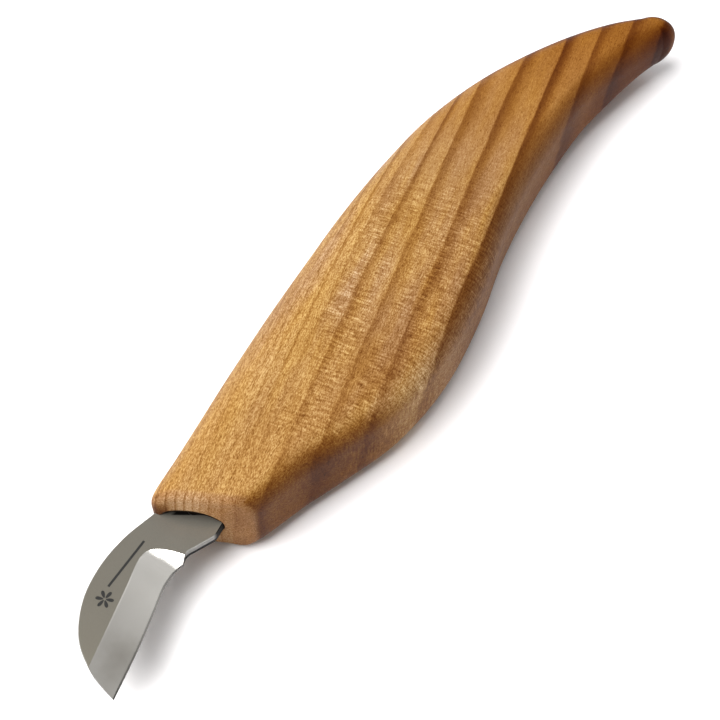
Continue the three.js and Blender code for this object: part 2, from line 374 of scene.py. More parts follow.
def nose_rings():
    """The slanted nose face, bulging a little, and its round edge: its rings, its middle and where
    the rest of the handle starts."""
    first_gap = np.linalg.norm(np.subtract(SPINE_SIDE[1], SPINE_SIDE[0]))
    per_mm = 1 / first_gap / (len(SECTIONS) - 1)
    belly_way = -profile(np.zeros(RING_COUNT))[:, 0]
    belly_share = np.clip((belly_way - CREASE_START) / (CREASE_FULL - CREASE_START), 0, 1)
    rounding = NOSE_ROUNDING + (NOSE_CREASE - NOSE_ROUNDING) * belly_share
    rim = ring(0.0, rounding)
    middle = rim.mean(axis=0)
    forward = np.array([-math.cos(NOSE_SLANT), -math.sin(NOSE_SLANT), 0])
    rings = []
    for i in range(1, FACE_RINGS):
        size = i / FACE_RINGS
        rings.append(middle + (rim - middle) * size + forward * NOSE_BULGE * (1 - size**2))
    for i in range(NOSE_RINGS):
        turn = i / NOSE_RINGS * math.pi / 2
        rings.append(ring(rounding * per_mm * (1 - math.cos(turn)), rounding * (1 - math.sin(turn))))
    return rings, middle + forward * NOSE_BULGE, rounding * per_mm


def tail_rings():
    """The rounded tail: the last ring shrinks along a quarter of an ellipse, down to its end."""
    last = ring(1.0)
    middle = np.append((np.array(SPINE_SIDE[-1]) + BELLY_SIDE[-1]) / 2, 0)
    reach = np.array([TAIL_CAP_LENGTH, -TAIL_CAP_DROP, 0])
    rings = []
    for i in range(1, TAIL_RINGS):
        turn = i / TAIL_RINGS * math.pi / 2
        rings.append(middle + (last - middle) * math.cos(turn) + reach * math.sin(turn))
    return rings, middle + reach


def handle_skin():
    """Points and faces of the handle before its mouth and slot are cut."""
    nose, first_middle, start = nose_rings()
    tail, last_middle = tail_rings()
    body = [ring(start + i / HANDLE_RINGS * (1 - start)) for i in range(HANDLE_RINGS + 1)]
    return closed_skin([*nose, *body, *tail], first_middle, last_middle)


def slot_cutter(front_x, back_x, half_height, pocket):
    """The slot for the tang between two x values, narrowing with the tang."""
    end_x = TANG_TIP_X + SLOT_CLEARANCE
    spine_slope = (TANG_ROOT_SPINE[1] - TANG_MIDDLE_Y - TANG_TIP_RADIUS) / (TANG_ROOT_SPINE[0] - end_x)
    belly_slope = (TANG_ROOT_BELLY[1] - TANG_MIDDLE_Y + TANG_TIP_RADIUS) / (TANG_ROOT_BELLY[0] - end_x)
    rings = []
    for x in (front_x, back_x):
        high = TANG_ROOT_SPINE[1] + SLOT_CLEARANCE + spine_slope * (x - TANG_ROOT_SPINE[0])
        low = TANG_ROOT_BELLY[1] - SLOT_CLEARANCE + belly_slope * (x - TANG_ROOT_BELLY[0])
        rings.append([(x, high, half_height), (x, low, half_height),
                      (x, low, -half_height), (x, high, -half_height)])
    points, faces = closed_skin(rings, np.mean(rings[0], axis=0), np.mean(rings[1], axis=0))
    cutter = mesh_object("slot_cutter", points, faces)
    cutter.data.materials.append(pocket)
    return cutter


def mouth_cutter(handle, wood, pocket):
    """The oval pocket at the nose. Its front follows the nose face and flares into a rounded rim."""
    graph = bpy.context.evaluated_depsgraph_get()
    tree = BVHTree.FromObject(handle, graph)
    angles = np.arange(MOUTH_STEPS) / MOUTH_STEPS * 2 * math.pi

    def oval(growth):
        y = MOUTH_MIDDLE_Y + (MOUTH_HALF_WIDTH + growth) * np.cos(angles)
        z = (MOUTH_HALF_HEIGHT + growth) * np.sin(angles)
        return y, z

    def face_x(y, z):
        start = to_frame((3 * IN_FRONT_X, y, z))
        hit = tree.ray_cast(Vector(start), Vector((1, 0, 0)))[0]
        return (hit.x - ORIGIN[0]) / MM

    front = np.array([face_x(*spot) for spot in zip(*oval(0.0))])
    rings = [np.column_stack([np.full(MOUTH_STEPS, IN_FRONT_X), *oval(MOUTH_LIP)])]
    for i in range(LIP_RINGS):
        turn = i / (LIP_RINGS - 1) * math.pi / 2
        lip_x = front + MOUTH_LIP * (1 - math.cos(turn))
        rings.append(np.column_stack([lip_x, *oval(MOUTH_LIP * (1 - math.sin(turn)))]))
    rings.append(np.column_stack([front + MOUTH_WALL_DEPTH, *oval(0.0)]))
    first_middle = (IN_FRONT_X, MOUTH_MIDDLE_Y, 0)
    last_middle = (front.mean() + MOUTH_MIDDLE_DEPTH, MOUTH_MIDDLE_Y, 0)
    points, faces = closed_skin(rings, first_middle, last_middle)
    cutter = mesh_object("mouth_cutter", points, faces)
    cutter.data.materials.append(wood)
    cutter.data.materials.append(pocket)
    wall_and_floor = cutter.data.polygons[LIP_RINGS * MOUTH_STEPS:]
    for face in wall_and_floor:
        face.material_index = 1
    return cutter


def grain_place(points):
    """For points in millimetres: their place along, across and through the grain."""
    x, y, z = points.T
    across = y - GRAIN_SLOPE * (x - GRAIN_MIDDLE_X)
    bend = eased(np.clip((across + GRAIN_BEND_HALF) / (2 * GRAIN_BEND_HALF), 0, 1))
    across = across + GRAIN_BEND * np.maximum(x - GRAIN_BEND_X, 0) ** 2 * bend
    across = across + GRAIN_TILT * (z - GRAIN_LEVEL)
    along = x + GRAIN_SLOPE * y
    return np.column_stack([along, across, z])


def vertex_vectors(mesh, name):
    """A value with three parts from every vertex, as an array."""
    values = np.zeros(len(mesh.vertices) * 3)
    mesh.vertices.foreach_get(name, values)
    return values.reshape(-1, 3)


def nose_share(spots, normals):
    """1 on the nose face, falling to 0 over its rounding."""
    middle = (np.array(SPINE_SIDE[0]) + BELLY_SIDE[0]) / 2
    behind = (spots[:, :2] - middle) @ [math.cos(NOSE_SLANT), math.sin(NOSE_SLANT)]
    reach = np.where(normals[:, 1] < BELLY_FACING, NOSE_CREASE, NOSE_ROUNDING)
    return 1 - np.clip(behind / reach, 0, 1)


def add_grain(made):
    """Stores on the mesh what the wood material needs: the place in the grain, the number and the
    strength of the ring there, and how far the surface cuts across the grain, faces the belly side
    and belongs to the nose face."""
    mesh = made.data
    spots = (vertex_vectors(mesh, "co") - ORIGIN) / MM
    normals = vertex_vectors(mesh, "normal")
    place = grain_place(spots)
    lines, strengths = np.array(RINGS).T
    shares = {
        "rings": np.interp(place[:, 1], lines, np.arange(len(RINGS))),
        "ring_strength": np.interp(place[:, 1], lines, strengths),
        "end_grain": np.abs(normals @ unit(np.array([1.0, GRAIN_SLOPE, 0.0]))),
        "belly_wall": -normals[:, 1],
        "nose": nose_share(spots, normals),
    }
    mesh.attributes.new("grain", "FLOAT_VECTOR", "POINT").data.foreach_set("vector", place.ravel())
    for name, values in shares.items():
        mesh.attributes.new(name, "FLOAT", "POINT").data.foreach_set("value", values)


def make_handle():
    """The wooden handle with its mouth and the slot for the tang."""
    points, faces = handle_skin()
    handle = mesh_object("handle_wood_body", points, faces)
    wood = wood_material()
    pocket = pocket_material()
    handle.data.materials.append(wood)
    end_x = TANG_TIP_X + SLOT_CLEARANCE
    cut(handle, mouth_cutter(handle, wood, pocket))
    cut(handle, slot_cutter(IN_FRONT_X, BEDDING_FRONT_X + SLOT_OVERLAP, MOUTH_SLOT_HALF, pocket))
    cut(handle, slot_cutter(BEDDING_FRONT_X, end_x, SLOT_HALF_HEIGHT, pocket))
    finish_mesh(handle, sharp_degrees=40)
    add_grain(handle)
    return handle


# ---- blade ----------------------------------------------------------------------------------------

BACK_STEPS = 90
TANG_TIP_STEPS = 17
SHOULDER_STEPS = 25
NOTCH_STEPS = 17
EDGE_STEPS = 60
PLUNGE_STEPS = 140
BEVEL_STEPS = 190
BEVEL_BANDS = 34
MICRO_BANDS = 3
FRONT_ROWS = 14            # the bevel's first rows, which follow the blade's back
LEAST_MITRE = 0.4          # keeps the chamfer within bounds at sharp corners
SIDE_LEVEL = 0.75          # a face whose direction has less z than this is a side of the sheet
FLAT_LEVEL = 0.9999        # and one with more than this is flat


def tang_tip():
    """Half a circle from the spine side to the belly side."""
    turns = np.linspace(math.pi / 2, -math.pi / 2, TANG_TIP_STEPS)
    return np.column_stack([
        TANG_TIP_X - TANG_TIP_RADIUS + TANG_TIP_RADIUS * np.cos(turns),
        TANG_MIDDLE_Y + TANG_TIP_RADIUS * np.sin(turns),
    ])


def notch_curve():
    """The notch between heel and ricasso, from the ricasso side."""
    start, peak, end = (np.array(point) for point in reversed(NOTCH))
    t = np.linspace(0, 1, NOTCH_STEPS)[:, None]
    return (1 - t) ** 2 * start + 2 * t * (1 - t) * peak + t**2 * end


def rounded(corner, before, after, size, steps=6):
    """Points that round a corner off, between a point before it and a point after it."""
    corner = np.array(corner, float)
    start = corner + size * unit(before - corner)
    end = corner + size * unit(after - corner)
    t = np.linspace(0, 1, steps + 1)[:, None]
    return (1 - t) ** 2 * start + 2 * t * (1 - t) * corner + t**2 * end


def flat_outline():
    """The blade's outline without its bevel: along the back from where the bevel runs out, round the
    tang, shoulder and ricasso, to the heel."""
    shoulder = spline(SHOULDER_LINE, np.linspace(0, 1, SHOULDER_STEPS))
    notch = notch_curve()
    parts = [
        spline(SPINE_LINE, np.linspace(BEVEL_FRONT_SHARE, 1, BACK_STEPS)),
        [TANG_ROOT_SPINE],
        tang_tip(),
        shoulder[:-1],
        rounded(shoulder[-1], shoulder[-2], RICASSO_CORNER, SHOULDER_ROUNDING),
        rounded(RICASSO_CORNER, shoulder[-1], notch[0], RICASSO_ROUNDING),
        notch,
    ]
    return np.concatenate([np.asarray(part, float) for part in parts])


def inset_outline(outline, distance):
    """The open outline moved to its inner side, by a distance that fades out at both ends, and that
    distance at each point."""
    steps = np.diff(outline, axis=0)
    lengths = np.linalg.norm(steps, axis=1)
    steps = unit(steps)
    ahead = np.vstack([steps, steps[-1:]])
    behind = np.vstack([steps[:1], steps])
    direction = unit(ahead + behind)
    inward = np.column_stack([direction[:, 1], -direction[:, 0]])
    mitre = np.clip(np.sum(direction * ahead, axis=1), LEAST_MITRE, 1)
    place = np.concatenate([[0], np.cumsum(lengths)])
    size = distance * np.clip(np.minimum(place, place[-1] - place) / CHAMFER_START, 0, 1)
    return outline + inward * (size / mitre)[:, None], size


def distance_to_curve(points, curve):
    """How far each point is from a curve given as a row of short straight pieces."""
    pieces = np.diff(curve, axis=0)
    offsets = points[:, None] - curve[None, :-1]
    share = np.sum(offsets * pieces, axis=2) / np.sum(pieces**2, axis=1)
    nearest = offsets - np.clip(share, 0, 1)[:, :, None] * pieces
    return np.linalg.norm(nearest, axis=2).min(axis=1)


def bevel_height(plan, share):
    """Half thickness at plan points of the bevel; share says how near each is to the edge."""
    start = np.array(BEVEL_FRONT)
    along = unit(np.array(GRIND_BEND) - start)
    outward = np.array([along[1], -along[0]])
    edge = spline(EDGE_LINE, np.linspace(0, 1, EDGE_STEPS)) - start
    reach = np.interp((plan - start) @ along, edge @ along, edge @ outward)
    depth = (plan - start) @ outward / reach      # 0 at the grind line, 1 at the cutting edge
    flat = BLADE_HALF + (MICRO_HALF - BLADE_HALF) * np.clip(depth, 0, 1)
    curve = spline(GRIND_LINE, np.linspace(PLUNGE_START, 1, PLUNGE_STEPS))
    plunge = BLADE_HALF - PLUNGE_SLOPE * distance_to_curve(plan, curve)
    from_start = np.linalg.norm(plan - curve[0], axis=1)
    fillet = PLUNGE_FILLET * np.clip(from_start / FILLET_START, FILLET_LEAST, 1)
    away = np.clip(np.abs(flat - plunge) / fillet / 2, 0, 1)
    height = np.maximum(flat, plunge) + fillet / 2 * (1 - away) ** 2
    last_stretch = np.clip((share - 1 + MICRO_BEVEL) / MICRO_BEVEL, 0, 1)
    height = height + (EDGE_HALF - MICRO_HALF) * last_stretch
    return np.clip(height, EDGE_HALF, BLADE_HALF)


def bevel_patch():
    """Points of one bevel: rows from the tip to the heel, bands from the grind line to the edge."""
    t = np.linspace(0, 1, BEVEL_STEPS + 1)
    grind = spline(GRIND_LINE, t)
    edge = spline(EDGE_LINE, t)
    shares = np.concatenate([
        np.linspace(0, 1 - MICRO_BEVEL, BEVEL_BANDS),
        np.linspace(1 - MICRO_BEVEL, 1, MICRO_BANDS + 1)[1:],
    ])
    front = spline(SPINE_LINE, (1 - shares) * BEVEL_FRONT_SHARE)
    bulge = front - (grind[0] + (edge[0] - grind[0]) * shares[:, None])
    rows = []
    for i in range(BEVEL_STEPS + 1):
        hold = max(0.0, 1 - i / FRONT_ROWS) ** 2
        plan = grind[i] + (edge[i] - grind[i]) * shares[:, None] + bulge * hold
        height = bevel_height(plan, shares)
        height[0] = BLADE_HALF
        rows.append(np.column_stack([plan, height]))
    return np.array(rows)


def blade_side(side, patch, points, faces):
    """Adds the flat, its chamfer and the bevel of one side (1 upper, -1 lower). Gives the numbers of
    the points along its outline and on its bevel."""
    outline = flat_outline()
    inner, chamfer = inset_outline(outline, BLADE_CHAMFER)
    rows, bands = patch.shape[:2]

    def add(new_points):
        start = len(points)
        points.extend(np.asarray(new_points, float).tolist())
        return list(range(start, start + len(new_points)))

    def add_face(face):
        faces.append(tuple(int(v) for v in (face if side < 0 else face[::-1])))

    rim = add(np.column_stack([outline, side * (BLADE_HALF - chamfer)]))
    top = add(np.column_stack([inner, np.full(len(inner), side * BLADE_HALF)]))
    line = add(np.column_stack([patch[1:-1, 0, :2], np.full(rows - 2, side * BLADE_HALF)]))
    add_face(top + line[::-1])
    for i in range(len(outline) - 1):
        add_face((rim[i], rim[i + 1], top[i + 1], top[i]))
    grid = add((patch * [1, 1, side]).reshape(-1, 3))
    grid = np.array(grid).reshape(rows, bands)
    for i in range(rows - 1):
        for j in range(bands - 1):
            add_face((grid[i, j], grid[i + 1, j], grid[i + 1, j + 1], grid[i, j + 1]))
    return rim, grid


def strip(high, low):
    """Four-sided faces between two rows of point numbers."""
    return [(int(high[i]), int(high[i + 1]), int(low[i + 1]), int(low[i]))
            for i in range(len(high) - 1)]


def make_blade():
    """The blade with its two bevels and its tang."""
    patch = bevel_patch()
    points = []
    faces = []
    upper_rim, upper_bevel = blade_side(1, patch, points, faces)
    lower_rim, lower_bevel = blade_side(-1, patch, points, faces)
    faces.extend(strip(upper_rim, lower_rim))
    cutting_edge, front, heel = np.s_[:, -1], np.s_[0], np.s_[-1]
    for row in (cutting_edge, front, heel):
        faces.extend(strip(upper_bevel[row], lower_bevel[row]))
    blade = mesh_object("blade_ground_steel", points, faces)
    finish_mesh(blade, sharp_degrees=6)
    for material in (satin_material(), bevel_material(), cut_edge_material()):
        blade.data.materials.append(material)
    for face in blade.data.polygons:
        level = abs(face.normal.z)
        face.material_index = 2 if level < SIDE_LEVEL else int(level < FLAT_LEVEL)
    return blade


PETAL_STEPS = 20


def petal_outline(number):
    """One petal of the rosette."""
    turn = number / PETALS * 2 * math.pi
    out = np.array([math.cos(turn), math.sin(turn)])
    side = np.array([-out[1], out[0]])
    turns = np.linspace(0, 2 * math.pi, PETAL_STEPS, endpoint=False)
    reach = PETAL_START + PETAL_LENGTH * (1 - np.cos(turns)) / 2
    width = -PETAL_HALF_WIDTH * np.sin(turns) * (1 - PETAL_TAPER * np.cos(turns))
    return np.array(ROSETTE_MIDDLE) + reach[:, None] * out + width[:, None] * side


def line_outline():
    """The plain line beside the rosette."""
    start = np.array(LINE_START)
    end = np.array(LINE_END)
    along = unit(end - start)
    side = np.array([-along[1], along[0]]) * LINE_HALF_WIDTH
    return [start - side, end - side, end + side, start + side]


def make_ornament():
    """A generic etched rosette and a line, as thin plates whose undersides are sunk into the flat."""
    petals = [petal_outline(number) for number in range(PETALS)]
    points = []
    faces = []
    for outline in [*petals, line_outline()]:
        count = len(outline)
        start = len(points)
        for level in (BLADE_HALF - ORNAMENT_SINK, BLADE_HALF + ORNAMENT_RISE):
            points.extend((x, y, level) for x, y in outline)
        faces.append(tuple(start + count + i for i in range(count)))
        faces.append(tuple(start + i for i in reversed(range(count))))
        faces.extend(tuple(start + i for i in face) for face in ring_faces(2, count))
    ornament = mesh_object("blade_etched_rosette", points, faces)
    finish_mesh(ornament, sharp_degrees=30)
    ornament.data.materials.append(etched_material())
    return ornament


# ---- materials ------------------------------------------------------------------------------------

# Noise scales are per millimetre for places in the grain, and per metre for places on the object.


def new_tree(name):
    """A new material and its node tree, which is empty."""
    material = bpy.data.materials.new(name)
    material.use_nodes = True
    material.node_tree.nodes.clear()
    return material, material.node_tree


def add_node(tree, kind, inputs=None, **settings):
    """A node with its settings; an input's value may be another node's output."""
    node = tree.nodes.new(kind)
    for name, value in settings.items():
        setattr(node, name, value)
    for name, value in (inputs or {}).items():
        if isinstance(value, bpy.types.NodeSocket):
            tree.links.new(value, node.inputs[name])
        else:
            node.inputs[name].default_value = value
    return node


def attribute(tree, name, output="Fac"):
    """A value that add_grain stored on the mesh."""
    return add_node(tree, "ShaderNodeAttribute", attribute_name=name).outputs[output]


def scaled(tree, vector, scale):
    node = add_node(tree, "ShaderNodeVectorMath", {0: vector, 1: scale}, operation="MULTIPLY")
    return node.outputs[0]


def maths(tree, operation, first, second=0.0, third=0.0):
    node = add_node(tree, "ShaderNodeMath", {0: first, 1: second, 2: third}, operation=operation)
    return node.outputs[0]


def product(tree, *values):
    """All the values multiplied."""
    result = values[0]
    for value in values[1:]:
        result = maths(tree, "MULTIPLY", result, value)
    return result


def object_place(tree):
    """The place on the object, as a point and as its x, y and z."""
    spot = add_node(tree, "ShaderNodeTexCoord").outputs["Object"]
    return spot, *add_node(tree, "ShaderNodeSeparateXYZ", {0: spot}).outputs


def noise(tree, vector, scale, detail=2.0, roughness=0.5):
    """Noise from 0 to 1 at a point scaled by three numbers."""
    inputs = {"Vector": scaled(tree, vector, scale), "Scale": 1.0,
              "Detail": detail, "Roughness": roughness}
    return add_node(tree, "ShaderNodeTexNoise", inputs).outputs["Fac"]


def stretch(tree, value, low, high, to_low=0.0, to_high=1.0, smooth=False):
    """A value between low and high spread over another span, and held at its ends."""
    inputs = {"Value": value, "From Min": low, "From Max": high, "To Min": to_low, "To Max": to_high}
    kind = "SMOOTHSTEP" if smooth else "LINEAR"
    return add_node(tree, "ShaderNodeMapRange", inputs, interpolation_type=kind, clamp=True).outputs[0]


def mix(tree, share, first, second, blend="MIX"):
    """The first colour with a share of the second. Sockets 0, 6 and 7 are the share and the colours."""
    node = tree.nodes.new("ShaderNodeMix")
    node.data_type = "RGBA"
    node.blend_type = blend
    for index, value in ((0, share), (6, first), (7, second)):
        if isinstance(value, bpy.types.NodeSocket):
            tree.links.new(value, node.inputs[index])
        else:
            node.inputs[index].default_value = value
    return node.outputs[2]


def shader(tree, inputs):
    """Ends a material with a principled shader."""
    surface = add_node(tree, "ShaderNodeBsdfPrincipled", inputs)
    add_node(tree, "ShaderNodeOutputMaterial", {"Surface": surface.outputs[0]})


GOLDEN_WOOD = (0.318, 0.157, 0.039, 1)
ROSY_WOOD = (0.295, 0.152, 0.060, 1)
TAIL_WOOD = (0.345, 0.140, 0.018, 1)
STAIN = (1.0, 1.45, 2.1)   # how fast red, green and blue fade as the wood gets darker
LIGHTEST_SPECKLE = -0.28   # the least depth that the speckles give
RIPPLE_MIDDLE = 0.47       # the noise at which a ripple gives no depth


def total(tree, parts):
    """The sum of amount * (value - middle) over the parts."""
    result = -sum(amount * middle for _, amount, middle in parts)
    for value, amount, _ in parts:
        result = maths(tree, "MULTIPLY_ADD", value, amount, result)
    return result


def stained(tree, colour, depth):
    """The colour darkened by a depth of stain."""
    shares = [maths(tree, "EXPONENT", maths(tree, "MULTIPLY", depth, -fade)) for fade in STAIN]
    tint = add_node(tree, "ShaderNodeCombineColor", dict(enumerate(shares))).outputs[0]
    return mix(tree, 1.0, colour, tint, "MULTIPLY")


def ring_bands(tree, grain, along, across, nose):
    """Growth rings: each gets slowly darker towards its dark line, and ends there. They are broader
    and stronger towards the tail, and stronger on the nose face."""
    wide = noise(tree, grain, (0.025, 0.12, 0.12), 2)
    narrow = noise(tree, grain, (0.12, 0.8, 0.8), 2)
    place = total(tree, [(attribute(tree, "rings"), 1.0, 0.0), (wide, 0.30, 0.5), (narrow, 0.12, 0.5)])
    phase = maths(tree, "FRACT", place)
    rise = stretch(tree, phase, 0.30, 0.92, smooth=True)
    fall = stretch(tree, phase, 0.92, 1.0, 1.0, 0.0, smooth=True)
    narrowness = stretch(tree, along, 30, 90, 4.0, 2.2)
    band = product(tree, maths(tree, "POWER", rise, narrowness), fall)
    strength = product(tree, attribute(tree, "ring_strength"), stretch(tree, along, 20, 95, 0.45, 1.0))
    stripes = product(tree, nose, stretch(tree, across, 9, 15, 0.0, 0.45))
    return product(tree, band, maths(tree, "ADD", strength, stripes))


def pores(tree, grain):
    """Short dark dashes along the grain."""
    place = scaled(tree, grain, (0.8, 3.2, 3.2))
    cells = add_node(tree, "ShaderNodeTexVoronoi", {"Vector": place, "Scale": 1.0})
    dash = stretch(tree, cells.outputs["Distance"], 0.12, 0.34, 1.0, 0.0)
    number = add_node(tree, "ShaderNodeSeparateColor", {0: cells.outputs["Color"]}).outputs[0]
    return product(tree, dash, stretch(tree, number, 0.45, 0.55))


def ripples(tree, grain, along, across):
    """Strokes across the grain, in patches. They fade out towards the nose, tail and spine side."""
    stroke = noise(tree, grain, (2.9, 0.45, 0.45), 2, 0.5)
    patch = stretch(tree, noise(tree, grain, (0.05, 0.25, 0.25), 2), 0.36, 0.56, 0.25, 1.0)
    front = stretch(tree, along, 8, 22, smooth=True)
    rear = stretch(tree, along, 60, 90, 1.0, 0.12, smooth=True)
    middle = stretch(tree, across, 4, 9, 1.0, 0.15, smooth=True)
    return product(tree, maths(tree, "SUBTRACT", stroke, RIPPLE_MIDDLE), patch, middle, front, rear)


def speckles(tree, grain, along, fibre):
    """Fine fibres and flecks, calmer towards the tail."""
    fleck = noise(tree, grain, (2.2, 6.0, 6.0), 2, 0.6)
    calm = stretch(tree, along, 50, 95, 1.0, 0.45, smooth=True)
    speckle = product(tree, total(tree, [(fibre, 1.3, 0.5), (fleck, 2.1, 0.5)]), calm)
    return maths(tree, "MAXIMUM", speckle, LIGHTEST_SPECKLE)


def wall_light_and_shade(tree, along, belly_wall):
    """The belly wall: dark in front, with painted light at the swell and painted shade towards the
    tail.
    """
    tone = total(tree, [
        (stretch(tree, along, 14, 28, 0.10, -0.44, smooth=True), 1.0, 0.0),
        (stretch(tree, along, 32, 58, smooth=True), 0.88, 0.0),
    ])
    return product(tree, belly_wall, tone)


def nose_tone(tree, across, through, nose):
    """The nose face: darker on its belly side, and painted shade on its spine side and beside the
    blade, where the blade and the nose's lower edge shade it.
    """
    shade_beside_blade = product(tree, stretch(tree, through, 2.4, 5.2, 1.0, 0.0),
                           stretch(tree, across, 15.4, 17.4))
    tone = total(tree, [
        (stretch(tree, across, 5, 12, 0.36, -0.16), 1.0, 0.0),
        (stretch(tree, across, 14.5, 18), 0.30, 0.0),
        (shade_beside_blade, 0.95, 0.0),
    ])
    return product(tree, nose, tone)


def wood_base(tree, grain, along, belly_wall, nose):
    """The colour of the wood before its stain: golden, with rosy patches, a rosy belly wall and nose,
    and an orange tail."""
    patches = stretch(tree, noise(tree, grain, (0.04, 0.22, 0.22), 2), 0.36, 0.66)
    patches = product(tree, patches, stretch(tree, along, 10, 45, 0.3, 1.0))
    wall = product(tree, belly_wall, stretch(tree, along, 25, 45))
    rosy = maths(tree, "MAXIMUM", patches, maths(tree, "MAXIMUM", nose, wall))
    colour = mix(tree, rosy, GOLDEN_WOOD, ROSY_WOOD)
    return mix(tree, stretch(tree, along, 80, 125, 0.0, 0.8), colour, TAIL_WOOD)


def wood_material():
    """Oiled hardwood. Its depth of stain, which also holds painted light and shade on the belly side
    and the nose, is a sum of parts, each with its amount and its middle.
    """
    material, tree = new_tree("oiled_hardwood")
    grain = attribute(tree, "grain", "Vector")
    along, across, through = add_node(tree, "ShaderNodeSeparateXYZ", {0: grain}).outputs
    nose = stretch(tree, attribute(tree, "nose"), 0.0, 0.8, smooth=True)
    not_nose = maths(tree, "SUBTRACT", 1.0, nose)
    belly_wall = product(tree, stretch(tree, attribute(tree, "belly_wall"), 0.2, 0.75), not_nose)
    cuts_across = product(tree, stretch(tree, attribute(tree, "end_grain"), 0.30, 0.56), not_nose)
    fibre = noise(tree, grain, (0.55, 3.4, 3.4), 3, 0.65)
    dash = pores(tree, grain)
    ripple = ripples(tree, grain, along, across)
    clouds = noise(tree, grain, (0.05, 0.16, 0.16), 3)
    # darker towards the belly side: partly painted shade where the top turns from the light, partly
    # darker oiled wood
    belly_shade_and_tone = stretch(tree, across, -14, 6, 0.16, 0.0)
    tail_tone = maths(tree, "POWER", stretch(tree, along, 78, 138), 1.5)
    front_tone = product(tree, stretch(tree, along, 30, 60, 0.10, 0.0),
                         stretch(tree, across, -6, 8, 2.0, 0.6))
    depth = total(tree, [
        (ring_bands(tree, grain, along, across, nose), 0.80, 0.2),
        (speckles(tree, grain, along, fibre), 1.15, 0.0),
        (dash, 0.42, 0.1),
        (ripple, 1.70, 0.0),
        (clouds, 0.50, 0.5),
        (belly_shade_and_tone, 1.0, 0.0),
        (front_tone, 1.0, 0.0),
        (cuts_across, 0.95, 0.0),
        (wall_light_and_shade(tree, along, belly_wall), 1.0, 0.0),
        (nose_tone(tree, across, through, nose), 1.0, 0.0),
        (tail_tone, 0.42, 0.0),
    ])
    colour = stained(tree, wood_base(tree, grain, along, belly_wall, nose), depth)

    relief = total(tree, [(fibre, 0.5, 0.5), (dash, -0.8, 0.0), (ripple, 0.6, 0.0)])
    bump = add_node(tree, "ShaderNodeBump", {"Strength": 0.35, "Distance": 0.05 * MM, "Height": relief})
    roughness = stretch(tree, fibre, 0.2, 0.8, 0.40, 0.55)
    shader(tree, {"Base Color": colour, "Roughness": roughness, "Normal": bump.outputs[0],
                  "Specular IOR Level": 0.05})
    return material


def pocket_material():
    """The wood inside the mouth and slot, coloured near black as painted shade."""
    material, tree = new_tree("mortise_wood_painted_shade")
    spot = object_place(tree)[0]
    clouds = noise(tree, spot, (900, 900, 900), 3)
    colour = mix(tree, clouds, (0.010, 0.006, 0.004, 1), (0.045, 0.022, 0.010, 1))
    shader(tree, {"Base Color": colour, "Roughness": 0.75, "Specular IOR Level": 0.2})
    return material


# Where the looks of the steel change, in millimetres from the middle of the blade's root.
MOUTH_SHADE_START = (-0.62, 1.70, 0)       # painted shade lies beyond a slanted line through this point
MOUTH_SHADE_DIRECTION = (0.765, 0.644, 0)
MOUTH_SHADE_FADE = 0.12
MOUTH_SHADE_END_Y = (2.0, 2.5)             # and it fades out between these
FLAT_TONE_X = (-24.0, -4.0)            # the flats get darker towards the tip
BEVEL_TONE_X = (-21.0, -8.0)           # and so do the bevels
BEVEL_ROUGH_X = (-12.0, -9.0)          # which get rougher towards the heel
STAIN_SPOT = (-22.6, -8.0, BLADE_HALF)
STAIN_REACH = (2.0, 8.0)
STAIN_WOBBLE = 5.0
MOUTH_EDGE_SHADE_X = (0.5, 1.3)              # the sheet's sides get painted shade inside the mouth
LOWER_EDGE_SHADE_Z = (-0.2, 0.0)             # and below this height


def painted_mouth_shade(tree, spot, side):
    """The share of painted black shade on the flats inside the mouth, where the wood's rim shades them.
    """
    start = Vector(MOUTH_SHADE_DIRECTION).dot(to_frame(MOUTH_SHADE_START))
    beyond = add_node(tree, "ShaderNodeVectorMath", {0: spot, 1: MOUTH_SHADE_DIRECTION},
                      operation="DOT_PRODUCT").outputs["Value"]
    inside = stretch(tree, beyond, start, start + MOUTH_SHADE_FADE * MM)
    return product(tree, inside, stretch(tree, side, *places_along(1, MOUTH_SHADE_END_Y), 1.0, 0.0))


def satin_material():
    """The flats: satin steel, which also scatters some light, with painted black shade inside the
    mouth.
    """
    material, tree = new_tree("satin_steel")
    spot, place, side, _ = object_place(tree)
    grit = noise(tree, spot, (5000, 5000, 5000), 2)
    cloud = noise(tree, spot, (180, 180, 180), 2)
    colour = mix(tree, cloud, (0.170, 0.157, 0.129, 1), (0.190, 0.177, 0.148, 1))
    colour = mix(tree, stretch(tree, grit, 0.3, 0.7, 0.0, 0.3), colour, (0.135, 0.124, 0.103, 1))
    towards_tip = stretch(tree, place, *places_along(0, FLAT_TONE_X), 0.5, 0.0)
    colour = mix(tree, towards_tip, colour, (0.125, 0.112, 0.083, 1))
    # painted shade: the flats turn near black inside the mouth
    colour = mix(tree, painted_mouth_shade(tree, spot, side), colour, (0.008, 0.007, 0.006, 1))
    shader(tree, {"Base Color": colour, "Metallic": 0.5, "Roughness": 0.3})
    return material


